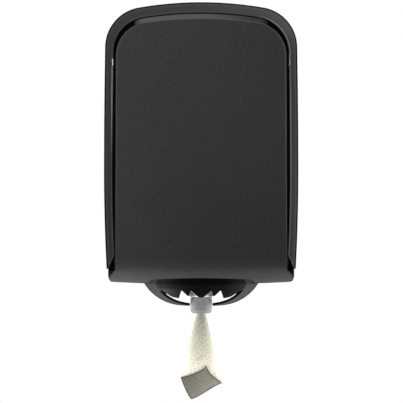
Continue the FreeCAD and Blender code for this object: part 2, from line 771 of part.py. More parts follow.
def bowl_screws():
    """The six screws that hold the flanges of the bowl and the tear plate up against the shelf."""
    length = BOWL_FLANGE + SHELF_THICKNESS - SCREW_END_GAP
    sizes = (length, SMALL_SCREW_R, SMALL_HEAD_R, SMALL_HEAD)
    return Part.makeCompound([screw(at, UP, *sizes) for at in bowl_screw_places()])


def retainer_top():
    return SHELF_TOP + FUNNEL_PLAY + FUNNEL_FLANGE + FUNNEL_PLAY + RETAINER_TOP


def retainer_screw_places():
    return round_about(RETAINER_SCREW_R, RETAINER_SCREW_ANGLES, retainer_top())


def retainer_screws():
    """The three screws down through the retainer into the shelf."""
    length = retainer_top() - SHELF_HEIGHT - SCREW_END_GAP
    sizes = (length, TINY_SCREW_R, TINY_HEAD_R, TINY_HEAD)
    return Part.makeCompound([screw(at, -UP, *sizes) for at in retainer_screw_places()])


def roll_shelf():
    """The floor that the roll stands on, with its flange on the back wall and two ribs below."""
    rear_y = -BACK_WALL - BOSS_DEPTH
    plate = box(-SHELF_HALF, SHELF_HALF, -SHELF_FRONT, rear_y, SHELF_HEIGHT, SHELF_TOP)
    upright = [item for item in plate.Edges if item.BoundBox.ZLength > PAST]
    corners = [item for item in upright if item.BoundBox.YMax < PAST - SHELF_FRONT]
    plate = plate.makeFillet(SHELF_CORNER_R, corners)
    flange_y = rear_y - SHELF_THICKNESS
    flange_top = SHELF_TOP + SHELF_FLANGE_HEIGHT
    flange = box(-SHELF_HALF, SHELF_HALF, flange_y, rear_y, SHELF_HEIGHT, flange_top)
    pieces = [flange]
    rib_low = HINGE_BAR_HEIGHT + SHELF_RIB_GAP
    rib_front = SHELF_RIB_SHORT - SHELF_FRONT
    for side in (-1, 1):
        x = side * (SHELF_HALF - SHELF_RIB_IN) - RIB_THICKNESS / 2
        rib = [
            Vector(x, rear_y, SHELF_HEIGHT),
            Vector(x, rear_y, rib_low),
            Vector(x, rib_front + SHELF_RIB_RUN, rib_low),
            Vector(x, rib_front, SHELF_HEIGHT),
        ]
        pieces.append(prism(rib, ALONG_X * RIB_THICKNESS))
        gusset = [
            Vector(x, flange_y, flange_top),
            Vector(x, flange_y, SHELF_TOP),
            Vector(x, flange_y - GUSSET_RUN, SHELF_TOP),
        ]
        pieces.append(prism(gusset, ALONG_X * RIB_THICKNESS))
    shelf = fused(plate, *pieces)
    holes = [cylinder(FUNNEL_NECK_R + FUNNEL_PLAY, AXIS, AXIS + UP * FAR)]
    for side in (-1, 1):
        for x in SHELF_SCREW_X:
            at = Vector(side * x, flange_y, SHELF_SCREW_HEIGHT)
            holes.append(screw_hole(SCREW_R, at, ALONG_Y, SHELF_THICKNESS))
    for at in bowl_screw_places():
        holes.append(screw_hole(SMALL_SCREW_R, at, UP, BOWL_FLANGE + SHELF_THICKNESS))
    for at in retainer_screw_places():
        holes.append(screw_hole(TINY_SCREW_R, at, -UP, at.z - SHELF_HEIGHT))
    return cut(shelf, *holes)


def rounded(corners, y):
    """Wire points for a polygon in the XZ plane, each corner given as (x, z, radius)."""
    points = []
    count = len(corners)
    for index in range(count):
        before = corners[index - 1]
        here = corners[index]
        after = corners[(index + 1) % count]
        at = Vector(here[0], y, here[1])
        back = (Vector(before[0], y, before[1]) - at).normalize()
        on = (Vector(after[0], y, after[1]) - at).normalize()
        half_angle = back.getAngle(on) / 2
        reach = here[2] / math.tan(half_angle)
        bisector = (back + on).normalize()
        middle = at + bisector * (here[2] / math.sin(half_angle) - here[2])
        points.append(at + back * reach)
        points.append((middle, at + on * reach))
    return points


def below_teeth():
    """All that lies below the tear edge: slanting ends, two lobes, two small teeth and a round one."""
    flank = math.atan2(INNER_ROOT_X, TOOTH_ROOT_Z - TOOTH_TIP_Z)
    centre_drop = CENTRE_TOOTH_R * (1 / math.sin(flank) - 1)
    right = [
        (BOWL_FLANGE_R, -BOWL_DROP - PAST, 0.0),
        (BOWL_FLANGE_R, SLIT_END_Z, 0.0),
        (SLIT_END_X, SLIT_END_Z, SLIT_END_ROUND),
        (SLIT_BEND_X, SLIT_BEND_Z, SLIT_BEND_R),
        (LOBE_X, LOBE_Z, LOBE_ROUND),
        (OUTER_ROOT_X, TOOTH_ROOT_Z, TOOTH_ROUND),
        (SMALL_TIP_X, SMALL_TIP_Z, TOOTH_ROUND),
        (INNER_ROOT_X, TOOTH_ROOT_Z, TOOTH_ROUND),
    ]
    centre = (0.0, TOOTH_TIP_Z - centre_drop, CENTRE_TOOTH_R)
    left = [(-x, z, r) for x, z, r in reversed(right)]
    front_y = AXIS_Y - BOWL_FLANGE_R - PAST
    return prism(rounded(right + [centre] + left, front_y), ALONG_Y * (BOWL_FLANGE_R + PAST))


def bowl_front():
    """All that lies in front of the plane in which the bowl and the tear plate meet."""
    low = -BOWL_DROP - PAST
    high = SHELF_HEIGHT + PAST
    low_y = AXIS_Y - BOWL_FRONT - BOWL_FRONT_LEAN * (low - BOWL_FRONT_HEIGHT)
    high_y = AXIS_Y - BOWL_FRONT - BOWL_FRONT_LEAN * (high - BOWL_FRONT_HEIGHT)
    front_y = AXIS_Y - BOWL_FLANGE_R - PAST
    points = [
        Vector(-FAR, low_y, low),
        Vector(-FAR, high_y, high),
        Vector(-FAR, front_y, high),
        Vector(-FAR, front_y, low),
    ]
    return prism(points, ALONG_X * 2 * FAR)


def nozzle_slot():
    """The break in the bowl's front edge that shows the nozzle, between the round ends of two arms."""
    y = AXIS_Y - BOWL_FLANGE_R
    low = -BOWL_DROP - ARM_PASS
    high = BOWL_WALL + ARM_RISE - BOWL_DROP
    end_x = NOZZLE_R + ARM_GAP
    root_x = end_x + ARM_BOW
    middle_z = (low + high) / 2
    points = [
        Vector(-root_x, y, low),
        Vector(root_x, y, low),
        (Vector(end_x, y, middle_z), Vector(root_x, y, high)),
        Vector(-root_x, y, high),
        (Vector(-end_x, y, middle_z), Vector(-root_x, y, low)),
    ]
    return prism(points, ALONG_Y * BOWL_FLANGE_R)


def bowl_shell():
    """The turned shell under the shelf that the bowl and the tear plate are parts of."""
    centre_z = BOWL_CURVE_R - BOWL_DROP
    inner_r = BOWL_CURVE_R - BOWL_WALL

    def on_curve(radius, share):
        reach = BOWL_R - BOWL_FLAT_R - (BOWL_CURVE_R - radius)
        angle = math.asin(reach / radius) * share
        return (BOWL_FLAT_R + radius * math.sin(angle), centre_z - radius * math.cos(angle))

    hole_r = NOZZLE_R + BOWL_HOLE_ROOM
    profile = [
        (hole_r, -BOWL_DROP),
        (BOWL_FLAT_R, -BOWL_DROP),
        (on_curve(BOWL_CURVE_R, 0.5), on_curve(BOWL_CURVE_R, 1)),
        (BOWL_R, SHELF_HEIGHT - BOWL_FLANGE),
        (BOWL_FLANGE_R, SHELF_HEIGHT - BOWL_FLANGE),
        (BOWL_FLANGE_R, SHELF_HEIGHT),
        (BOWL_R - BOWL_WALL, SHELF_HEIGHT),
        on_curve(inner_r, 1),
        (on_curve(inner_r, 0.5), on_curve(inner_r, 0)),
        (hole_r, -BOWL_DROP + BOWL_WALL),
    ]
    return turned(profile)


def bowl_screw_holes():
    return [screw_hole(SMALL_SCREW_R, at, UP, BOWL_FLANGE) for at in bowl_screw_places()]


def outlet_bowl():
    """The bowl round the nozzle, with its slanting front edge, two arms and an open rear."""
    arch_y = AXIS_Y - REAR_ARCH_START
    arch = [
        Vector(-REAR_ARCH_HALF, arch_y, -BOWL_DROP - PAST),
        Vector(REAR_ARCH_HALF, arch_y, -BOWL_DROP - PAST),
        Vector(REAR_ARCH_HALF, arch_y, REAR_ARCH_SIDE),
        (Vector(0, arch_y, REAR_ARCH_TOP), Vector(-REAR_ARCH_HALF, arch_y, REAR_ARCH_SIDE)),
    ]
    rear = prism(arch, ALONG_Y * FAR)
    return cut(bowl_shell(), bowl_front(), nozzle_slot(), rear, *bowl_screw_holes())


def tear_plate():
    """The toothed plate in front of the bowl, whose curve it carries on."""
    return cut(bowl_shell().common(bowl_front()), below_teeth(), *bowl_screw_holes())


def nozzle_funnel():
    """The upper half of the nozzle: a flange on the shelf, a funnel and the spigot for the tip."""
    flange_z = SHELF_TOP + FUNNEL_PLAY
    profile = [
        (NOZZLE_BORE_R, SPIGOT_BOTTOM),
        (SPIGOT_R, SPIGOT_BOTTOM),
        (SPIGOT_R, COLLAR_BOTTOM),
        (COLLAR_R - CHAMFER, COLLAR_BOTTOM),
        (COLLAR_R, COLLAR_BOTTOM + CHAMFER),
        (COLLAR_R, COLLAR_BOTTOM + COLLAR_TALL),
        (FUNNEL_NECK_R, SHELF_HEIGHT - NECK_BELOW),
        (FUNNEL_NECK_R, flange_z),
        (FUNNEL_FLANGE_R, flange_z),
        (FUNNEL_FLANGE_R, flange_z + FUNNEL_FLANGE),
        (FUNNEL_MOUTH_R, flange_z + FUNNEL_FLANGE),
        (NOZZLE_BORE_R, COLLAR_BOTTOM + FUNNEL_THROAT),
    ]
    return turned(profile)


def nozzle_tip():
    """The cup that is pushed on the funnel's spigot, with its rounded lower edge."""
    r = NOZZLE_CORNER_R
    ease = r * (1 - math.sqrt(0.5))
    inner_r = SPIGOT_R + SCREW_PLAY
    profile = [
        (NOZZLE_BORE_R, NOZZLE_BOTTOM),
        (NOZZLE_R - r, NOZZLE_BOTTOM),
        ((NOZZLE_R - ease, NOZZLE_BOTTOM + ease), (NOZZLE_R, NOZZLE_BOTTOM + r)),
        (NOZZLE_R, COLLAR_BOTTOM - CHAMFER),
        (NOZZLE_R - CHAMFER, COLLAR_BOTTOM),
        (inner_r, COLLAR_BOTTOM),
        (inner_r, SPIGOT_BOTTOM),
        (NOZZLE_BORE_R, SPIGOT_BOTTOM),
    ]
    return turned(profile)


def nozzle_retainer():
    """The ring that keeps the nozzle's flange down and lets it turn."""
    flange_top = SHELF_TOP + FUNNEL_PLAY + FUNNEL_FLANGE
    room_r = FUNNEL_FLANGE_R + FUNNEL_PLAY
    profile = [
        (room_r, SHELF_TOP),
        (RETAINER_R, SHELF_TOP),
        (RETAINER_R, retainer_top() - CHAMFER),
        (RETAINER_R - CHAMFER, retainer_top()),
        (RETAINER_LIP_R, retainer_top()),
        (RETAINER_LIP_R, flange_top + FUNNEL_PLAY),
        (room_r, flange_top + FUNNEL_PLAY),
    ]
    thick = retainer_top() - SHELF_TOP
    holes = [screw_hole(TINY_SCREW_R, at, -UP, thick) for at in retainer_screw_places()]
    return cut(turned(profile), *holes)


def latch_lever():
    """The right latch: a lever on an upright pin, with a nose at the cover and a tab in the lip's slot."""
    at = latch_place(1)
    nose_x = opening_half(LATCH_HEIGHT) - COVER_GAP + LATCH_GAP
    tab_x = opening_half(LATCH_HEIGHT) + LATCH_GAP
    arm_in = at.x - LATCH_ARM / 2
    arm_out = at.x + LATCH_ARM / 2
    low = LATCH_HEIGHT - LATCH_TALL / 2
    front_y = LIP_BACK_Y + LATCH_GAP
    nose_rear = -LATCH_NOSE_DEPTH + LATCH_NOSE / 2
    nose_front = -LATCH_NOSE_DEPTH - LATCH_NOSE / 2
    points = [
        Vector(arm_out, at.y, low),
        Vector(arm_in, at.y, low),
        Vector(arm_in, nose_rear + LATCH_NOSE, low),
        Vector(nose_x, nose_rear, low),
        Vector(nose_x, nose_front, low),
        Vector(tab_x, nose_front - LATCH_NOSE / 2, low),
        Vector(tab_x, front_y, low),
        Vector(arm_out, front_y, low),
    ]
    lever = prism(points, UP * LATCH_TALL)
    base = Vector(at.x, at.y, low)
    boss = cylinder(LATCH_BOSS_R - LATCH_GAP, base, base + UP * LATCH_TALL)
    hole = cylinder(LATCH_PIN_R + PIN_PLAY, base - UP, base + UP * (LATCH_TALL + 1))
    return fused(lever, boss).cut(hole)


def latch_pin():
    """The right latch's pin, down through both ears, with a flat head on the upper one."""
    at = latch_place(1)
    top = at + UP * (LATCH_TALL / 2 + LATCH_GAP + LATCH_EAR)
    length = LATCH_TALL + 2 * (LATCH_GAP + LATCH_EAR) + LATCH_PIN_HEAD
    pin = cylinder(LATCH_PIN_R, top - UP * length, top)
    return fused(pin, cylinder(LATCH_PIN_HEAD_R, top, top + UP * LATCH_PIN_HEAD))


def latch_spring():
    """A bowed leaf between the rim's wall and the lever's back."""
    at = latch_place(1)
    low = LATCH_HEIGHT - SPRING_TALL / 2
    near_y = at.y - LATCH_BOSS_R - SPRING_START
    far_y = -LATCH_NOSE_DEPTH + LATCH_NOSE
    wall_x = housing_half(far_y, LATCH_HEIGHT) - SHELL_WALL - SPRING_GAP
    near_x = housing_half(near_y, LATCH_HEIGHT) - SHELL_WALL - SPRING_GAP
    arm_x = at.x + LATCH_ARM / 2 + SPRING_GAP
    middle_y = (near_y + far_y) / 2
    t = SPRING_THICKNESS
    points = [
        Vector(near_x, near_y, low),
        (Vector(arm_x + t, middle_y, low), Vector(wall_x, far_y, low)),
        Vector(wall_x - t, far_y, low),
        (Vector(arm_x, middle_y, low), Vector(near_x - t, near_y, low)),
    ]
    return prism(points, UP * SPRING_TALL)


def paper_roll():
    """The coreless roll on its shelf."""
    base = Vector(0, AXIS_Y, SHELF_TOP)
    top = base + UP * ROLL_HEIGHT
    return cylinder(ROLL_D / 2, base, top).cut(cylinder(ROLL_BORE_D / 2, base - UP, top + UP))


def pleated(z, half, depth):
    """A closed section of sharp pleats at a height, as wide as half each side."""
    points = []
    for index in range(2 * TAIL_PLEATS):
        angle = math.pi * (index + 0.5) / TAIL_PLEATS
        share = 1 if index % 2 else TAIL_VALLEY
        points.append(Vector(share * half * math.cos(angle), AXIS_Y + share * depth * math.sin(angle), z))
    return wire(points)


def paper_tail():
    """The end of the paper: gathered through the nozzle, pleated below it, its corner turned up."""
    waist_r = NOZZLE_BORE_R - TAIL_ROOM
    bend = Vector(0, AXIS_Y, COLLAR_BOTTOM + TAIL_BEND_UP)
    top_z = SHELF_TOP + TAIL_REACH
    strand_r = waist_r * TAIL_VALLEY - STRAND_THINNER
    lean = math.atan2(ROLL_BORE_D / 2 - 2 * strand_r, top_z - bend.z)
    end_x = -(ROLL_BORE_D / 2 - TAIL_SEAT - strand_r * math.cos(lean))
    strand = cylinder(strand_r, bend, Vector(end_x, AXIS_Y, top_z))
    knee = Part.makeSphere(strand_r, bend)
    waist_z = NOZZLE_BOTTOM - waist_r
    hem_z = NOZZLE_BOTTOM - TAIL_HANG
    sections = [
        pleated(bend.z, waist_r, waist_r),
        pleated(waist_z, waist_r, waist_r),
        pleated(
            mix(waist_z, hem_z, TAIL_SPREAD_SHARE), mix(waist_r, TAIL_HALF, TAIL_SPREAD_SHARE), waist_r
        ),
        pleated(hem_z, TAIL_HALF, TAIL_DEPTH_HALF),
    ]
    skirt = Part.makeLoft(sections, True, True)
    flap_y = AXIS_Y - TAIL_DEPTH_HALF - TAIL_FLAP / 2
    flap = prism([Vector(x, flap_y, hem_z + up) for x, up in TAIL_CORNER], ALONG_Y * TAIL_FLAP)
    return fused(skirt, knee, strand, flap)


def write(name, shape):
    moved = shape.copy()
    moved.translate(Vector(0, 0, -MOUNT_HEIGHT))
    solids = len(moved.Solids)
    print(f"{name}: {solids} solids, valid {moved.isValid()}, {moved.Volume / 1000:.2f} cm3")
    moved.exportStep(f"parts/{name}.step")


os.makedirs("parts", exist_ok=True)
write("rear_housing", rear_housing())
write("frame_rim", frame_rim())
whole_cover = cover_body()
write("front_panel", front_panel(whole_cover))
write("cover_shell", cover_shell(whole_cover))
write("roll_shelf", roll_shelf())
write("shelf_screws", shelf_screws())
write("outlet_bowl", outlet_bowl())
write("tear_plate", tear_plate())
write("bowl_screws", bowl_screws())
write("nozzle_funnel", nozzle_funnel())
write("nozzle_tip", nozzle_tip())
write("nozzle_retainer", nozzle_retainer())
write("retainer_screws", retainer_screws())
write("paper_roll", paper_roll())
write("paper_tail", paper_tail())
for name, make in (
    ("hinge_pin", hinge_pin),
    ("latch_lever", latch_lever),
    ("latch_pin", latch_pin),
    ("latch_spring", latch_spring),
):
    right = make()
    write(name + "_right", right)
    write(name + "_left", mirrored(right))
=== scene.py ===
import math
import random

import bmesh
import bpy
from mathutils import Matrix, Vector


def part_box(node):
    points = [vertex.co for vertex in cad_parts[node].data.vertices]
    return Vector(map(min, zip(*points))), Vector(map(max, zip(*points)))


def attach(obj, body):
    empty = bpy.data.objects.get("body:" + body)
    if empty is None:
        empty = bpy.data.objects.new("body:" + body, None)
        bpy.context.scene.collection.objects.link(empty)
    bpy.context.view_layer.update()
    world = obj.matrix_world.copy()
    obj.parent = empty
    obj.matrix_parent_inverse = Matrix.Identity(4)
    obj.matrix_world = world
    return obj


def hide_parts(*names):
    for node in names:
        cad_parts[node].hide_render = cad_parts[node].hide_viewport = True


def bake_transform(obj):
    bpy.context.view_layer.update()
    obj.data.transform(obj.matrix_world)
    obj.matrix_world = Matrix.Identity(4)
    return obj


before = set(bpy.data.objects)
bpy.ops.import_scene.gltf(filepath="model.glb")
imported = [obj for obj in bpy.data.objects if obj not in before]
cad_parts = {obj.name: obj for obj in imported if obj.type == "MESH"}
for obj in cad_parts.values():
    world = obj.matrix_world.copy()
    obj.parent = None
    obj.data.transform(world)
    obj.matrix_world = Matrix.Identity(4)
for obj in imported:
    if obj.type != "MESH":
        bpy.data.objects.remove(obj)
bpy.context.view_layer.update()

# Lengths are in metres, heights count from the frame's origin, and tones are linear.

# Camera, straight in front of the middle of the dispenser and its hanging paper
CAMERA_PLACE = (0.00042, -3.2, -0.0861)
CAMERA_LENS = 213.75
CAMERA_SENSOR = 36.0
CAMERA_REACH = 50.0

# Studio
FLOOR_HEIGHT = -0.62
FLOOR_SIZE = 3.0
FLOOR_TONE = (0.86, 0.86, 0.86)
ROOM_LIGHT = 0.34
WHITE = 1.0

# Directions along which tones change, mostly with painted light and shade, or in which faces look, and the
# face in which the bowl and the tear plate meet
RIGHT = (1.0, 0.0, 0.0)
UP = (0.0, 0.0, 1.0)
DOWN = (0.0, 0.0, -1.0)
FRONT = (0.0, -1.0, 0.0)
UPPER_LEFT = (-0.6, 0.0, 0.8)
RIGHT_AND_UP = (0.9, 0.0, 0.436)
LOWER_RIGHT = (0.8, 0.0, -0.35)
BOWL_CUT_FACE = (0.0, -0.8944, -0.4472)

# Sockets of a colour mix: its two colours and its result
MIX_FIRST = 6
MIX_SECOND = 7
MIX_RESULT = 2

# Where nearly all values of a noise lie, how fine a slow drift of tone is, and how uneven gloss is
NOISE_SPAN = (0.3, 0.7)
SLOW_SCALE = 14.0
UNEVEN_GLOSS = 0.08

# Near black for the painted shade on the panel's foot, on the bowl's side that faces right and on its cut
# face
NEAR_BLACK = (0.0003, 0.0003, 0.0003)

# Painted shade, black, on the upper part of the foot's corners: beyond FOOT_SIDE, where z + FOOT_CURVE * x *
# x is over FOOT_LINE
FOOT_SIDE = 0.1064
FOOT_CURVE = 6.09
FOOT_LINE = -0.1022

# Painted shade: a dark line along the panel's lower edge, and the soft border of both
EDGE_LINE = 0.0011
EDGE_DARKNESS = 0.85
SOFT_LINE = 0.0003

# Bead on the rim's inner edge, and how far out the latch slots' ends and backs are
BEAD_R = 0.0012
BEAD_SET = 0.0007
BEAD_SIDES = 8
SLOT_SIDE = 0.1
SLOT_BACK = 0.1145
WELD = 0.00001

# How a face's normal tells the lip's front, its inner side and a slot's end
FACES_FRONT = -0.99
FACES_IN = 0.3
FACES_UP = 0.95

# Finger tabs of the latches
TAB_INNER = 0.1128
TAB_OUTER = 0.1142
TAB_WEB = 0.00025
TAB_CLEAR = 0.0002
TAB_THICK = 0.0007
TAB_ROOT = 0.001
TAB_TALL = 0.0084
TAB_EDGE = 0.0001
TAB_EDGE_STEPS = 2

# Paper and its roll. ROLL_CORNER is how far in and down the rounded corner's middle is.
PLY = 0.00025
EMBOSS_SCALE = 620.0
ROLL_BORE = 0.032
ROLL_PITCH = 0.0021
ROLL_UNEVEN = 0.0006
ROLL_GROOVE = 0.0005
ROLL_ROUND = 0.0016
ROLL_CORNER = (0.0004, 0.00096)
ROLL_ROWS = (0.0, 0.01, 0.1, 0.3, 0.5, 0.7, 0.9, 0.99, 1.0)
ROLL_STEPS = 96
ROLL_SEED = 7

# Gathered paper, from the roll's bore over the bend and down to the waist in the nozzle
TOP_GAP = 0.003
BEND_HEIGHT = 0.030
BEND_SHARE = 0.65
AXIS_Y = (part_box("nozzle_tip")[0].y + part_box("nozzle_tip")[1].y) / 2
TAIL_TOP_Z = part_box("paper_tail")[1].z - TOP_GAP
WAIST_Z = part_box("nozzle_tip")[0].z
BEND_Z = WAIST_Z + BEND_HEIGHT
BORE_X = -0.0255
ROWS_ABOVE = 25
ROWS_BELOW = 60
COLUMNS = 300

# Its windings, and the opening below the nozzle
WAIST = 0.0054
HEM_HALF = 0.0259
HEM_DEPTH = 0.0068
HEM_DROP = 0.0848
HEM_SLANT = 0.0049
HEM_ROUNDING = 0.9
TURNS_ABOVE = 8.4
TURNS_HEM = 3.0
INNER_TURN = 0.12
TURN_SHRINK = 0.015
FINE_FOLDS = 11
FINE_FOLD_DEPTH = 0.03
BROAD_FOLDS = 5
BROAD_FOLD_DEPTH = 0.012
BROAD_FOLD_TWIST = 3

# Turned-up end. Its corners and handles are (x, z), and it starts a little above the hem, inside it.
FLAP_LEFT = (-0.0265, -0.3126)
FLAP_LOW = (-0.0123, -0.3408)
FLAP_RIGHT = (0.0275, -0.3202)
FLAP_APEX = (0.0070, -0.2977)
FLAP_LOW_LEFT = (FLAP_LEFT, (-0.0233, -0.3215), (-0.0180, -0.3359), FLAP_LOW)
FLAP_LOW_RIGHT = (FLAP_LOW, (-0.0007, -0.3372), (0.0186, -0.3215), FLAP_RIGHT)
FLAP_TOP_LEFT = (FLAP_LEFT, (-0.0136, -0.3102), (0.0009, -0.3054), FLAP_APEX)
FLAP_TOP_RIGHT = (FLAP_APEX, (0.0089, -0.3086), (0.0162, -0.3110), FLAP_RIGHT)
FLAP_LOW_SHARE = 0.45
FLAP_APEX_SHARE = 0.55
FLAP_FORWARD = 0.0016
FLAP_FOLD = 0.0009
FLAP_BOW = 0.0007
FLAP_LEAN = 0.0003
# Width of the turned-up end's border strips, which get a painted dark line of shade, and the most of its
# rise they take
FLAP_EDGE = 0.0014
FLAP_EDGE_MOST = 0.3
FLAP_START = 0.86
FLAP_START_WIDTH = 0.84
FLAP_START_INSIDE = 0.0012
FLAP_COLUMNS = 60
FLAP_ROWS_DOWN = 8
FLAP_ROWS_UP = 12
# Material slots of the turned-up end: the back of the sheet, coloured with painted shade, and its border
# strips with a painted dark line of shade
REVERSE_SLOT = 1
EDGE_SLOT = 2


def camera():
    """The camera, level and looking into the wall."""
    data = bpy.data.cameras.new("camera")
    data.lens = CAMERA_LENS
    data.sensor_width = CAMERA_SENSOR
    data.clip_end = CAMERA_REACH
    item = bpy.data.objects.new("camera", data)
    item.location = CAMERA_PLACE
    item.rotation_euler = (math.pi / 2, 0.0, 0.0)
    bpy.context.scene.collection.objects.link(item)
    bpy.context.scene.camera = item


class Look:
    """A material under construction, whose textures follow the piece's own coordinates."""

    def __init__(self, name, colour, roughness, specular=0.5):
        self.material = bpy.data.materials.new(name)
        self.material.use_nodes = True
        self.tree = self.material.node_tree
        self.shader = self.tree.nodes["Principled BSDF"]
        self.colour = colour
        self.put("Base Color", (*colour, 1.0))
        self.put("Roughness", roughness)
        self.put("Specular IOR Level", specular)
        places = self.add("ShaderNodeTexCoord")
        self.coordinates = places.outputs["Object"]
        self.normal = places.outputs["Normal"]

    def put(self, socket, value):
        """Sets a value that is the same all over the surface."""
        self.shader.inputs[socket].default_value = value

    def add(self, kind, **values):
        """A new node with some of its settings."""
        node = self.tree.nodes.new(kind)
        for key, value in values.items():
            setattr(node, key, value)
        return node

    def link(self, source, target):
        self.tree.links.new(source, target)

    def coat(self, weight, roughness):
        """A clear layer on top."""
        self.put("Coat Weight", weight)
        self.put("Coat Roughness", roughness)

    def stretched(self, scale, turn=0.0):
        """The coordinates turned about the axis to the wall, times a scale along each axis."""
        node = self.add("ShaderNodeMapping", vector_type="TEXTURE")
        node.inputs["Rotation"].default_value = (0.0, turn, 0.0)
        node.inputs["Scale"].default_value = tuple(1 / part for part in scale)
        self.link(self.coordinates, node.inputs["Vector"])
        return node.outputs["Vector"]

    def along(self, direction, source=None):
        """How far a place, or another vector, lies along a direction."""
        node = self.add("ShaderNodeVectorMath", operation="DOT_PRODUCT")
        node.inputs[1].default_value = direction
        self.link(source or self.coordinates, node.inputs[0])
        return node.outputs["Value"]

    def noise(self, scale, detail=2.0, roughness=0.5, source=None):
        node = self.add("ShaderNodeTexNoise")
        node.inputs["Scale"].default_value = scale
        node.inputs["Detail"].default_value = detail
        node.inputs["Roughness"].default_value = roughness
        self.link(source or self.coordinates, node.inputs["Vector"])
        return node.outputs["Fac"]

    def dots(self, scale):
        """How far a place is from the nearest of many scattered points."""
        node = self.add("ShaderNodeTexVoronoi")
        node.inputs["Scale"].default_value = scale
        self.link(self.coordinates, node.inputs["Vector"])
        return node.outputs["Distance"]

    def spread(self, source, span, to=(0.0, 1.0)):
        """Takes a source from one span of values to another, and keeps it within that."""
        node = self.add("ShaderNodeMapRange")
        for socket, value in zip(("From Min", "From Max", "To Min", "To Max"), (*span, *to)):
            node.inputs[socket].default_value = value
        self.link(source, node.inputs["Value"])
        return node.outputs["Result"]

    def facing(self, direction, span, to=(0.0, 1.0)):
        """How far the surface faces a direction, where span holds two cosines."""
        return self.spread(self.along(direction, self.normal), span, to)

    def combined(self, operation, first, second):
        """Two values, each a number or a socket, put together."""
        node = self.add("ShaderNodeMath", operation=operation)
        for index, source in enumerate((first, second)):
            if isinstance(source, float):
                node.inputs[index].default_value = source
            else:
                self.link(source, node.inputs[index])
        return node.outputs["Value"]

    def plus(self, first, second):
        return self.combined("ADD", first, second)

    def times(self, first, second):
        return self.combined("MULTIPLY", first, second)

    def blend(self, share, first, second):
        """A colour between two, each given as three numbers or as a socket."""
        node = self.add("ShaderNodeMix", data_type="RGBA")
        self.link(share, node.inputs["Factor"])
        for index, source in ((MIX_FIRST, first), (MIX_SECOND, second)):
            if isinstance(source, tuple):
                node.inputs[index].default_value = (*source, 1.0)
            else:
                self.link(source, node.inputs[index])
        return node.outputs[MIX_RESULT]

    def scaled(self, colour, factor):
        """A colour times a value."""
        node = self.add("ShaderNodeVectorMath", operation="SCALE")
        self.link(colour, node.inputs[0])
        self.link(factor, node.inputs["Scale"])
        return node.outputs["Vector"]

    def between(self, low, high, share):
        """A colour from low to high times the look's own colour, by a share of 0 to 1."""
        darker = tuple(part * low for part in self.colour)
        lighter = tuple(part * high for part in self.colour)
        return self.blend(share, darker, lighter)

    def tint(self, colour):
        self.link(colour, self.shader.inputs["Base Color"])

    def rough(self, value):
        self.link(value, self.shader.inputs["Roughness"])

    def bump(self, height, depth):
        node = self.add("ShaderNodeBump")
        node.inputs["Distance"].default_value = depth
        self.link(height, node.inputs["Height"])
        self.link(node.outputs["Normal"], self.shader.inputs["Normal"])


def moulded(name, colour, roughness, coat, grain=900.0, depth=0.00006, fleck=0.12, drift_and_painted_light=0.04):
    """Plastic with a fine moulded grain, a slow random change of tone and slightly uneven gloss."""
    look = Look(name, colour, roughness, specular=0.0)
    look.coat(coat, roughness)
    fine = look.noise(grain, detail=3.0, roughness=0.6)
    slow = look.noise(SLOW_SCALE)
    flecked = look.between(1.0 - fleck, 1.0 + fleck, look.spread(fine, NOISE_SPAN))
    look.tone = look.scaled(flecked, look.spread(slow, NOISE_SPAN, to=(1.0 - drift_and_painted_light, 1.0 + drift_and_painted_light)))
    look.tint(look.tone)
    glossier = roughness * (1.0 - UNEVEN_GLOSS)
    duller = roughness * (1.0 + UNEVEN_GLOSS)
    look.rough(look.spread(slow, NOISE_SPAN, to=(glossier, duller)))
    look.bump(fine, depth)
    return look


def gloss(name, colour, coat, shine):
    """Polished black plastic with a weak clear reflection."""
    look = Look(name, colour, roughness=0.3, specular=0.0)
    look.coat(coat, shine)
    look.tone = look.between(0.8, 1.2, look.noise(scale=9.0))
    look.tint(look.tone)
    look.bump(look.noise(scale=60.0), depth=0.00001)
    return look


def rim_satin():
    """Satin black, with painted shade on the edges that turn away from the front, painted light to the right
    and at the top, and painted shade low down.
    """
    colour = (0.05, 0.05, 0.0505)
    look = moulded("rim_satin", colour, roughness=0.42, coat=0.01, grain=1400.0, depth=0.00002)
    # Painted shade on the edges that turn away from the front
    painted_shade_turned_away = look.facing(FRONT, span=(0.7, 0.9), to=(0.03, 1.0))
    # Painted light to the right and at the top, and painted shade low down
    across = look.spread(look.along(RIGHT), span=(-0.12, 0.12), to=(0.72, 1.36))
    height = look.along(UP)
    top = look.spread(height, span=(0.12, 0.155), to=(1.0, 1.25))
    low = look.spread(height, span=(-0.16, -0.05), to=(0.8, 1.0))
    drift_and_painted_light = look.times(across, look.times(top, low))
    look.tint(look.scaled(look.tone, look.times(painted_shade_turned_away, drift_and_painted_light)))
    return look.material


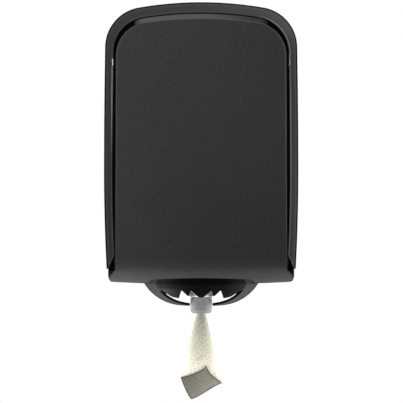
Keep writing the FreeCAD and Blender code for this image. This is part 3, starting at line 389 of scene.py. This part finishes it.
def panel_matte():
    """Fine matte grain, with painted light to the upper left, painted highlights on the upright edges,
    painted shade low down away from the left, and painted light on the foot that turns down.
    """
    colour = (0.022, 0.022, 0.0225)
    look = moulded("panel_matte", colour, roughness=0.42, coat=0.22, grain=600.0, fleck=0.34, drift_and_painted_light=0.03)
    across = look.along(RIGHT)
    height = look.along(UP)
    # Painted light to the upper left
    painted_light_to_upper_left = look.spread(look.along(UPPER_LEFT), span=(-0.19, 0.16), to=(0.72, 1.15))
    # Painted highlights on the edges that face right and up, and on those that face left
    right_edge_highlight = look.facing(RIGHT_AND_UP, span=(0.15, 0.6), to=(1.0, 2.6))
    left_edge_highlight = look.facing(RIGHT, span=(-0.15, -0.6), to=(1.0, 1.4))
    edges = look.times(right_edge_highlight, left_edge_highlight)
    # Painted shade low down, away from the left side
    low_down = look.spread(height, span=(-0.02, -0.13))
    not_left = look.spread(across, span=(-0.09, -0.01))
    painted_shade_hollow = look.spread(look.times(low_down, not_left), span=(0.0, 1.0), to=(1.0, 0.82))
    # Painted light on the foot, where it turns down
    foot = look.facing(DOWN, span=(0.4, 0.62), to=(0.0, 0.46))
    # All of this painted light and shade scales the grain's tone
    drift_and_painted_light = look.times(painted_light_to_upper_left, look.times(edges, look.plus(painted_shade_hollow, foot)))
    look.tint(painted_foot_shade(look, across, height, look.scaled(look.tone, drift_and_painted_light)))
    return look.material


def painted_foot_shade(look, across, height, tone):
    """A tone with painted shade: black on the upper part of the foot's corners and a dark line along its
    lower edge.
    """
    # Painted shade, black, on the upper part of the foot's corners
    squared = look.times(across, across)
    outside = look.spread(squared, span=(FOOT_SIDE ** 2, (FOOT_SIDE + SOFT_LINE) ** 2))
    curve = look.plus(look.times(squared, FOOT_CURVE), height)
    above = look.spread(curve, span=(FOOT_LINE - SOFT_LINE, FOOT_LINE + SOFT_LINE))
    corners = look.blend(look.times(outside, above), tone, NEAR_BLACK)
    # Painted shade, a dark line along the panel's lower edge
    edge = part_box("front_panel")[0].z + EDGE_LINE
    line = look.spread(height, span=(edge + SOFT_LINE, edge - SOFT_LINE), to=(0.0, EDGE_DARKNESS))
    return look.blend(line, corners, NEAR_BLACK)


def cover_gloss():
    """Gloss black walls whose upward side has painted light: grey, with painted shade darkening it to the
    right.
    """
    look = gloss("cover_gloss", (0.0014, 0.0014, 0.0016), coat=0.012, shine=0.05)
    # Painted light on the upward side, with painted shade to the right
    to_the_right = look.spread(look.along(RIGHT), span=(0.01, 0.065))
    painted_ledge_light = look.blend(to_the_right, (0.082, 0.082, 0.083), (0.04, 0.04, 0.041))
    look.tint(look.blend(look.facing(UP, span=(0.88, 0.97)), look.tone, painted_ledge_light))
    return look.material


def bowl_grey():
    """Satin grey with painted shade: darker where it turns away from the front, black where it faces right
    and black on the cut face that the tear plate meets.
    """
    look = moulded("bowl_grey", (0.04, 0.04, 0.041), roughness=0.38, coat=0.05, depth=0.00001)
    # Painted shade: darker where it turns away from the front, black where it faces right and on the cut
    # face
    painted_shade_turned_away = look.facing(FRONT, span=(0.1, 0.24), to=(0.2, 1.0))
    painted_shade_facing_right = look.facing(RIGHT, span=(0.86, 0.92))
    painted_shade_cut_face = look.facing(BOWL_CUT_FACE, span=(0.97, 0.99))
    body = look.blend(painted_shade_facing_right, look.scaled(look.tone, painted_shade_turned_away), NEAR_BLACK)
    look.tint(look.blend(painted_shade_cut_face, body, NEAR_BLACK))
    return look.material


def tear_black():
    """Polished black with painted light towards its ends, most low on the left."""
    look = gloss("tear_black", (0.0028, 0.0028, 0.003), coat=0.01, shine=0.16)
    across = look.along(RIGHT)
    # Painted light towards both ends, on the left end mostly low down
    left_end = look.spread(across, span=(-0.048, -0.014), to=(1.0, 0.0))
    right_end = look.spread(across, span=(0.02, 0.06))
    below = look.spread(look.along(UP), span=(-0.1955, -0.1985), to=(0.36, 1.0))
    left_painted_light = look.times(look.times(left_end, left_end), below)
    right_painted_light = look.times(look.times(right_end, right_end), 0.4)
    look.tint(look.blend(look.plus(left_painted_light, right_painted_light), look.tone, (0.042, 0.042, 0.043)))
    return look.material


def nozzle_grey():
    """Pale grey, with painted light round its sides, most at their top, and painted shade where it turns
    down.
    """
    look = moulded("nozzle_grey", (0.21, 0.21, 0.215), roughness=0.4, coat=0.3)
    # Painted light round the sides, most at their top
    sideways = look.along(RIGHT, look.normal)
    side = look.times(sideways, sideways)
    painted_light_high_up = look.spread(look.along(UP), span=(-0.217, -0.212), to=(0.0, 1.4))
    # Painted shade where it turns down
    under = look.facing(DOWN, span=(0.1, 0.7), to=(1.0, 0.5))
    sides = look.plus(look.spread(side, span=(0.1, 0.8), to=(1.0, 1.7)), look.times(side, painted_light_high_up))
    look.tint(look.scaled(look.tone, look.times(under, sides)))
    return look.material


def bead_satin():
    """The rim's satin, with painted highlights along the right side, the upper left one and the top."""
    colour = (0.036, 0.036, 0.0365)
    look = moulded("bead_satin", colour, roughness=0.35, coat=0.1, grain=1400.0, depth=0.00001)
    across = look.along(RIGHT)
    height = look.along(UP)
    # Painted highlights along the right side, the upper left one and the top
    right_height = look.spread(height, span=(-0.12, 0.05), to=(0.35, 1.0))
    right = look.times(look.spread(across, span=(0.07, 0.1)), right_height)
    above_middle = look.spread(height, span=(-0.03, 0.04), to=(0.0, 0.8))
    below_latch = look.spread(height, span=(0.1, 0.088))
    left_height = look.times(above_middle, below_latch)
    left = look.times(look.spread(across, span=(-0.106, -0.111)), left_height)
    top = look.spread(height, span=(0.13, 0.145), to=(0.0, 0.18))
    painted_highlights = look.plus(top, look.plus(right, left))
    look.tint(look.blend(painted_highlights, look.tone, (0.17, 0.17, 0.17)))
    return look.material


def metal(name, colour, roughness):
    """Plated steel with faint brushing."""
    look = Look(name, colour, roughness)
    look.put("Metallic", 1.0)
    lines = look.noise(scale=400.0, detail=3.0, source=look.stretched((1.0, 1.0, 8.0)))
    look.tint(look.between(0.85, 1.1, lines))
    look.rough(look.spread(lines, span=(0.2, 0.8), to=(roughness * 0.8, roughness * 1.25)))
    look.bump(lines, depth=0.00002)
    return look.material


def tissue(name, colour, fleck):
    """Soft paper with a fine embossed dot and small darker flecks."""
    look = Look(name, colour, roughness=0.92, specular=0.0)
    look.put("Sheen Weight", 0.1)
    dots = look.dots(EMBOSS_SCALE)
    flecks = look.noise(EMBOSS_SCALE * 1.4, detail=2.0, roughness=0.7)
    share = look.spread(look.times(dots, flecks), span=(0.1, 0.45))
    look.tint(look.between(1.0 - fleck, 1.0, share))
    look.bump(dots, depth=0.00025)
    return look


def gathered_paper():
    """The outside of the hanging paper: painted shade darkens its gathered middle, most towards the top, it
    is pale where it opens, and painted light brightens it near the hem.
    """
    look = tissue("paper_face", (0.80, 0.78, 0.66), fleck=0.2)
    down = look.spread(look.along(UP), span=(WAIST_Z, WAIST_Z - HEM_DROP))
    half = look.spread(down, span=(0.0, 1.0), to=(WAIST, HEM_HALF))
    sideways = look.combined("DIVIDE", look.along(RIGHT), half)
    # Painted shade: darker towards the gathered middle and, most of all, towards the top
    middle = look.spread(look.times(sideways, sideways), span=(0.0, 0.75), to=(1.0, 0.0))
    upwards = look.spread(down, span=(0.0, 1.0), to=(1.0, 0.0))
    painted_gather_shade = look.times(upwards, look.spread(middle, span=(0.0, 1.0), to=(0.64, 1.0)))
    speck = look.spread(look.noise(EMBOSS_SCALE * 1.1, detail=0.0), span=(0.42, 0.58))
    strength = look.spread(middle, span=(0.0, 1.0), to=(0.07, 0.36))
    flecked = look.combined("SUBTRACT", 1.12, look.times(speck, strength))
    # Painted shade: the middle darker than the sides
    pale = look.blend(middle, (0.78, 0.76, 0.64), (0.66, 0.64, 0.52))
    tone = look.blend(painted_gather_shade, pale, (0.26, 0.252, 0.207))
    # Painted light, paler near the hem
    hem = look.spread(down, span=(0.7, 0.95), to=(1.0, 1.1))
    look.tint(look.scaled(tone, look.times(flecked, hem)))
    return look.material


def reverse_paper():
    """The back of the sheet on the turned-up end, coloured with painted shade, with painted light towards
    the lower right and faint slanting lines.
    """
    # A dark colour of painted shade for the back of the sheet
    look = tissue("paper_reverse", (0.114, 0.109, 0.09), fleck=0.1)
    slanting = look.stretched((1.0, 1.0, 0.3), turn=math.radians(40))
    lines = look.noise(scale=1400.0, detail=2.0, source=slanting)
    # Painted light towards the lower right
    drift_and_painted_light = look.spread(look.along(LOWER_RIGHT), span=(0.085, 0.135), to=(0.8, 2.0))
    tone = look.between(0.76, 1.24, look.spread(lines, span=(0.35, 0.65)))
    look.tint(look.scaled(tone, drift_and_painted_light))
    return look.material


def dress(material, *names):
    """Gives a material to carried-over nodes."""
    for name in names:
        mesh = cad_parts[name].data
        mesh.materials.clear()
        mesh.materials.append(material)


def dress_frame():
    """Every carried-over node gets its finish, apart from the levers, which share theirs with the tabs."""
    housing = moulded("housing_dark", (0.02, 0.02, 0.021), roughness=0.5, coat=0.1)
    funnel = moulded("funnel_pale", (0.86, 0.86, 0.86), roughness=0.5, coat=0.2)
    inner = moulded("inner_grey", (0.2, 0.2, 0.21), roughness=0.55, coat=0.2)
    dress(housing.material, "rear_housing")
    dress(rim_satin(), "frame_rim")
    dress(panel_matte(), "front_panel")
    dress(cover_gloss(), "cover_shell")
    dress(bowl_grey(), "outlet_bowl")
    dress(tear_black(), "tear_plate")
    dress(funnel.material, "nozzle_funnel")
    dress(nozzle_grey(), "nozzle_tip")
    dress(inner.material, "roll_shelf", "nozzle_retainer")
    dress(
        metal("steel", (0.62, 0.62, 0.63), roughness=0.3),
        "shelf_screws", "bowl_screws", "retainer_screws", "hinge_pin_left", "hinge_pin_right",
        "latch_pin_left", "latch_pin_right",
    )


def mesh_piece(name, bm, *materials):
    """A smooth-shaded piece made of the faces in bm."""
    mesh = bpy.data.meshes.new(name)
    bmesh.ops.recalc_face_normals(bm, faces=bm.faces)
    bm.to_mesh(mesh)
    bm.free()
    for polygon in mesh.polygons:
        polygon.use_smooth = True
    for material in materials:
        mesh.materials.append(material)
    item = bpy.data.objects.new(name, mesh)
    bpy.context.scene.collection.objects.link(item)
    return item


def lip_side(edge, front_y):
    """The way that the lip's side faces at an edge of the rim, or None where it isn't the inner edge."""
    if len(edge.link_faces) != 2 or any(abs(vert.co.y - front_y) > WELD for vert in edge.verts):
        return None
    front, side = sorted((face.normal for face in edge.link_faces), key=lambda normal: normal.y)
    middle = (edge.verts[0].co + edge.verts[1].co) / 2
    slot_end = abs(side.z) > FACES_UP and abs(middle.x) > SLOT_SIDE
    slot_back = middle.z > 0 and abs(middle.x) > SLOT_BACK
    inner = front.y < FACES_FRONT and abs(side.y) < FACES_IN and side.dot(-middle) > 0
    if inner and not slot_end and not slot_back:
        return side.copy()
    return None


def lip_edges(front_y):
    """The chains of points along the rim's inner front edge, each with its way into the opening."""
    bm = bmesh.new()
    bm.from_mesh(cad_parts["frame_rim"].data)
    bmesh.ops.remove_doubles(bm, verts=bm.verts, dist=WELD)
    inward = {}
    for edge in bm.edges:
        side = lip_side(edge, front_y)
        if side is not None:
            for vert in edge.verts:
                inward.setdefault(vert, []).append((edge.other_vert(vert), side))
    chains = []
    left = set(inward)
    while left:
        ends = [vert for vert in left if len(inward[vert]) == 1]
        vert = min(ends or left, key=lambda item: (round(item.co.x, 5), round(item.co.z, 5)))
        chain = []
        while vert is not None and vert in left:
            left.discard(vert)
            way = sum((side for _, side in inward[vert]), Vector()).normalized()
            chain.append((vert.co.copy(), way))
            vert = next((other for other, _ in inward[vert] if other in left), None)
        if len(chain) > 1:
            chains.append(chain)
    bm.free()
    return chains


def lip_bead(material):
    """The fine rounded bead that edges the rim's opening."""
    bm = bmesh.new()
    for chain in lip_edges(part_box("frame_rim")[0].y):
        rings = []
        for point, way in chain:
            ring = []
            for index in range(BEAD_SIDES + 1):
                angle = math.pi * index / BEAD_SIDES
                inwards = way * (math.cos(angle) * BEAD_R - BEAD_SET)
                forwards = Vector((0.0, -math.sin(angle) * BEAD_R, 0.0))
                ring.append(bm.verts.new(point + inwards + forwards))
            rings.append(ring)
        for first, second in zip(rings, rings[1:]):
            for index in range(BEAD_SIDES + 1):
                after = (index + 1) % (BEAD_SIDES + 1)
                bm.faces.new((first[index], first[after], second[after], second[index]))
        bm.faces.new(rings[0])
        bm.faces.new(rings[-1])
    item = mesh_piece("rim_bead", bm, material)
    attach(item, "housing")


def latch_tabs(material):
    """Each latch's finger tab: a thin web up through the lip's slot, with a cap that slides over the lip."""
    cap_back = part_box("frame_rim")[0].y - TAB_CLEAR
    cap_front = cap_back - TAB_THICK
    for side, end in ((-1, "left"), (1, "right")):
        low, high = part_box("latch_lever_" + end)
        outline = [
            (TAB_OUTER, cap_back),
            (TAB_OUTER, cap_front),
            (TAB_INNER, cap_front),
            (TAB_INNER, low.y + TAB_ROOT),
            (TAB_INNER + TAB_WEB, low.y + TAB_ROOT),
            (TAB_INNER + TAB_WEB, cap_back),
        ]
        middle = (low.z + high.z) / 2
        bm = bmesh.new()
        ends = [
            [bm.verts.new((side * x, y, middle + way * TAB_TALL / 2)) for x, y in outline]
            for way in (-1, 1)
        ]
        bm.faces.new(ends[0])
        bm.faces.new(ends[1])
        for index in range(len(outline)):
            after = (index + 1) % len(outline)
            bm.faces.new((ends[0][index], ends[0][after], ends[1][after], ends[1][index]))
        item = mesh_piece("latch_tab_" + end, bm, material)
        soften = item.modifiers.new("edges", "BEVEL")
        soften.width = TAB_EDGE
        soften.segments = TAB_EDGE_STEPS
        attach(item, "latch_" + end)


def leaf_springs(material):
    """Each latch's leaf spring, a fixed copy of its node that stands where the node stood."""
    for side, end in ((-1, "left"), (1, "right")):
        node = "latch_spring_" + end
        item = bpy.data.objects.new("leaf_spring_" + end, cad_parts[node].data.copy())
        bpy.context.scene.collection.objects.link(item)
        item.data.materials.clear()
        item.data.materials.append(material)
        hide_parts(node)
        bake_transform(item)


def roll_end(turns, outer, level, way, chance):
    """One end's (radius, height) points from the bore outwards; way is 1 at the top and -1 below."""
    points = [(ROLL_BORE, level - way * ROLL_ROUND)]
    for half_turn in range(1, 2 * turns):
        dip = chance.uniform(0.0, ROLL_UNEVEN) + (ROLL_GROOVE if half_turn % 2 else 0.0)
        points.append((ROLL_BORE + ROLL_PITCH * half_turn / 2, level - way * dip))
    points.append((outer - ROLL_CORNER[0], level - way * ROLL_CORNER[1]))
    return points


def roll_wall(radius, top, bottom):
    """Points down a side of the roll, close together near its ends."""
    reach = top - bottom - 2 * ROLL_ROUND
    return [(radius, top - ROLL_ROUND - reach * share) for share in ROLL_ROWS]


def wound_roll(material):
    """The paper roll, whose ends show the turns of its winding a little out of line."""
    low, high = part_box("paper_roll")
    outer = (high.x - low.x) / 2
    turns = round((outer - ROLL_BORE) / ROLL_PITCH)
    chance = random.Random(ROLL_SEED)
    profile = roll_end(turns, outer, high.z, 1, chance)
    profile += roll_wall(outer, high.z, low.z)
    profile += reversed(roll_end(turns, outer, low.z, -1, chance))
    profile += reversed(roll_wall(ROLL_BORE, high.z - ROLL_ROUND, low.z + ROLL_ROUND))
    angles = [2 * math.pi * step / ROLL_STEPS for step in range(ROLL_STEPS)]
    bm = bmesh.new()
    rings = []
    for radius, z in profile:
        points = [(radius * math.cos(angle), AXIS_Y + radius * math.sin(angle), z) for angle in angles]
        rings.append([bm.verts.new(point) for point in points])
    for index, first in enumerate(rings):
        second = rings[(index + 1) % len(rings)]
        for step in range(ROLL_STEPS):
            after = (step + 1) % ROLL_STEPS
            bm.faces.new((first[step], first[after], second[after], second[step]))
    item = mesh_piece("wound_roll", bm, material)
    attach(item, "housing")
    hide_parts("paper_roll")


def smooth(share):
    """An even start and end between 0 and 1."""
    share = min(max(share, 0.0), 1.0)
    return share * share * (3 - 2 * share)


def mix(first, second, share):
    """A number between two."""
    return first + (second - first) * share


def bezier(points, share):
    """A point on the curve that a start, two handles and an end make."""
    while len(points) > 1:
        points = [
            (mix(first[0], second[0], share), mix(first[1], second[1], share))
            for first, second in zip(points, points[1:])
        ]
    return points[0]


def joined(first, second, split, share):
    """A point on two curves in a row, the first of which ends at the share split."""
    if share < split:
        return bezier(first, share / split)
    return bezier(second, (share - split) / (1 - split))


def wound(share, turns):
    """Turns from the sheet's outer edge at a share of its width: one full turn, then evenly inwards."""
    shrink = (1 - INNER_TURN) / (2 * (turns - 1))
    length = 1 + (turns - 1) * (1 + INNER_TURN) / 2
    reach = share * length
    if reach <= 1:
        return reach
    return 1 + (1 - math.sqrt(max(0.0, 1 - 4 * shrink * (reach - 1)))) / (2 * shrink)


def tail_rows():
    """Each row of the sheet as its height, its share of the way to the hem and its lean to the bore."""
    rows = []
    for index in range(ROWS_ABOVE + 1):
        share = index / ROWS_ABOVE
        if share < BEND_SHARE:
            level = mix(TAIL_TOP_Z, BEND_Z, share / BEND_SHARE)
        else:
            level = mix(BEND_Z, WAIST_Z, (share - BEND_SHARE) / (1 - BEND_SHARE))
        lean = max(0.0, (level - BEND_Z) / (TAIL_TOP_Z - BEND_Z))
        rows.append((level, 0.0, lean))
    for index in range(1, ROWS_BELOW + 1):
        rows.append((WAIST_Z, index / ROWS_BELOW, 0.0))
    return rows


def tail_points(level, down, lean):
    """The points across the wound sheet in one of its rows."""
    half = mix(WAIST, HEM_HALF, down)
    depth = mix(WAIST, HEM_DEPTH, smooth(down * HEM_ROUNDING))
    turns = mix(TURNS_ABOVE, TURNS_HEM, down)
    points = []
    for column in range(COLUMNS + 1):
        turn = wound(column / COLUMNS, turns)
        angle = math.pi / 2 + 2 * math.pi * turn
        inward = 1 - TURN_SHRINK * turn
        if turn > 1:
            inward -= (1 - INNER_TURN) * (turn - 1) / (turns - 1)
        fine = FINE_FOLD_DEPTH * (1 - down) ** 2 * math.sin(FINE_FOLDS * angle)
        broad = BROAD_FOLD_DEPTH * math.sin(BROAD_FOLDS * angle + BROAD_FOLD_TWIST * down)
        reach = inward * (1 + fine + broad)
        x = half * reach * math.cos(angle) + BORE_X * lean
        y = AXIS_Y + depth * reach * math.sin(angle)
        points.append((x, y, level - (HEM_DROP + HEM_SLANT * math.cos(angle)) * down))
    return points


def paper_tail(front, reverse, edge):
    """The sheet that is gathered through the nozzle, opens below it and is turned up at its end."""
    bm = bmesh.new()
    grid = [[bm.verts.new(point) for point in tail_points(*row)] for row in tail_rows()]
    for upper, lower in zip(grid, grid[1:]):
        for column in range(COLUMNS):
            bm.faces.new((upper[column], upper[column + 1], lower[column + 1], lower[column]))
    turned_up_end(bm)
    item = mesh_piece("hanging_paper", bm, front, reverse, edge)
    thick = item.modifiers.new("ply", "SOLIDIFY")
    thick.thickness = PLY
    thick.offset = 0.0
    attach(item, "housing")
    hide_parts("paper_tail")


def flap_line(share):
    """Points down inside the hem to the fold and up in front of it, at a share of the flap's width."""
    start_half = mix(WAIST, HEM_HALF, FLAP_START) * FLAP_START_WIDTH
    x = mix(-start_half, start_half, share)
    low_x, low_z = joined(FLAP_LOW_LEFT, FLAP_LOW_RIGHT, FLAP_LOW_SHARE, share)
    top_x, top_z = joined(FLAP_TOP_LEFT, FLAP_TOP_RIGHT, FLAP_APEX_SHARE, share)
    round_y = math.sqrt(max(0.0, 1 - (x / HEM_HALF) ** 2))
    start_y = AXIS_Y - (HEM_DEPTH - FLAP_START_INSIDE) * round_y
    front_y = AXIS_Y - HEM_DEPTH * round_y - FLAP_FORWARD
    start_z = WAIST_Z - (HEM_DROP + HEM_SLANT * x / HEM_HALF) * FLAP_START
    line = []
    for index in range(FLAP_ROWS_DOWN):
        t = index / FLAP_ROWS_DOWN
        line.append((mix(x, low_x, t), mix(start_y, front_y + FLAP_FOLD, t), mix(start_z, low_z, t)))
    rise = math.hypot(top_x - low_x, top_z - low_z)
    border = min(FLAP_EDGE / rise, FLAP_EDGE_MOST) if rise > 0 else FLAP_EDGE_MOST
    middle = [mix(border, 1 - border, index / FLAP_ROWS_UP) for index in range(FLAP_ROWS_UP + 1)]
    for t in [0.0, *middle, 1.0]:
        bow = FLAP_BOW * math.sin(math.pi * t)
        line.append((mix(low_x, top_x, t), front_y - bow - FLAP_LEAN * t, mix(low_z, top_z, t)))
    return line


def turned_up_end(bm):
    """The end of the sheet, which comes down inside the hem, is folded and stands up in front of it."""
    lines = [
        [bm.verts.new(point) for point in flap_line(step / FLAP_COLUMNS)]
        for step in range(FLAP_COLUMNS + 1)
    ]
    last = len(lines[0]) - 2
    for left, right in zip(lines, lines[1:]):
        for index in range(last + 1):
            face = bm.faces.new((left[index], left[index + 1], right[index + 1], right[index]))
            # The strips along the fold and the top edge get a painted dark line of shade, and the rest above
            # the fold the back of the sheet in painted shade
            if index in (FLAP_ROWS_DOWN, last):
                face.material_index = EDGE_SLOT
            elif index > FLAP_ROWS_DOWN:
                face.material_index = REVERSE_SLOT


def area_light(name, place, target, size, power):
    """A soft lamp that the camera itself doesn't see."""
    data = bpy.data.lights.new(name, "AREA")
    data.shape = "RECTANGLE"
    data.size, data.size_y = size
    data.energy = power
    item = bpy.data.objects.new(name, data)
    item.location = place
    way = Vector(target) - Vector(place)
    item.rotation_euler = way.to_track_quat("-Z", "Y").to_euler()
    item.visible_camera = False
    bpy.context.scene.collection.objects.link(item)


def lights():
    """Soft lamps above, in front on the left, at both sides, under both edges and behind."""
    middle = (0.0, -0.1, -0.05)
    upright = (0.4, 1.6)
    lying = (0.6, 0.9)
    area_light("top_light", (0.0, -0.4, 1.6), target=(0.0, -0.1, 0.0), size=(1.6, 1.2), power=9.0)
    area_light("key_light", (-0.9, -1.2, 0.8), target=(0.0, -0.1, -0.1), size=(0.9, 0.9), power=15.0)
    area_light("left_light", (-1.4, -0.35, 0.0), target=middle, size=upright, power=7.0)
    area_light("right_light", (1.4, -0.55, 0.1), target=middle, size=upright, power=10.0)
    area_light("low_left_light", (-0.42, -0.15, -0.6), target=(-0.42, -0.149, 0.0), size=lying, power=8.0)
    area_light("low_right_light", (0.42, -0.15, -0.6), target=(0.42, -0.149, 0.0), size=lying, power=7.5)
    area_light("back_light", (0.3, 1.6, 0.7), target=(0.0, 0.0, 0.0), size=(1.2, 1.2), power=10.0)


def ground():
    """A plain pale floor."""
    bpy.ops.mesh.primitive_plane_add(size=FLOOR_SIZE, location=(0.0, 0.0, FLOOR_HEIGHT))
    floor = bpy.context.object
    floor.name = "floor"
    look = Look("floor_pale", FLOOR_TONE, roughness=0.9, specular=0.0)
    look.tint(look.between(0.99, 1.01, look.noise(scale=3.0)))
    floor.data.materials.append(look.material)


def room():
    """A world that is white to the eye, in reflections and through glass, and lights the rest softly."""
    world = bpy.data.worlds.new("studio")
    bpy.context.scene.world = world
    world.use_nodes = True
    tree = world.node_tree
    background = tree.nodes["Background"]
    background.inputs["Color"].default_value = (WHITE, WHITE, WHITE, 1.0)
    path = tree.nodes.new("ShaderNodeLightPath")
    seen = path.outputs["Is Camera Ray"]
    for kind in ("Is Glossy Ray", "Is Transmission Ray"):
        either = tree.nodes.new("ShaderNodeMath")
        either.operation = "MAXIMUM"
        tree.links.new(seen, either.inputs[0])
        tree.links.new(path.outputs[kind], either.inputs[1])
        seen = either.outputs["Value"]
    strength = tree.nodes.new("ShaderNodeMapRange")
    strength.inputs["To Min"].default_value = ROOM_LIGHT
    strength.inputs["To Max"].default_value = WHITE
    tree.links.new(seen, strength.inputs["Value"])
    tree.links.new(strength.outputs["Result"], background.inputs["Strength"])


bpy.context.scene.view_settings.view_transform = "Standard"
camera()
ground()
room()
lights()
dress_frame()
lip_bead(bead_satin())
LATCH_PALE = moulded("latch_pale", (0.5, 0.5, 0.505), roughness=0.5, coat=0.2).material
dress(LATCH_PALE, "latch_lever_left", "latch_lever_right")
latch_tabs(LATCH_PALE)
leaf_springs(metal("spring_steel", (0.45, 0.45, 0.47), roughness=0.35))
wound_roll(tissue("paper_wound", (0.78, 0.76, 0.68), fleck=0.15).material)
# The hanging paper: its outside, the back of its turned-up end in painted shade, and its edges with a
# painted dark line of shade
paper_tail(
    gathered_paper(),
    reverse_paper(),
    tissue("paper_edge", (0.048, 0.045, 0.037), fleck=0.1).material,
)
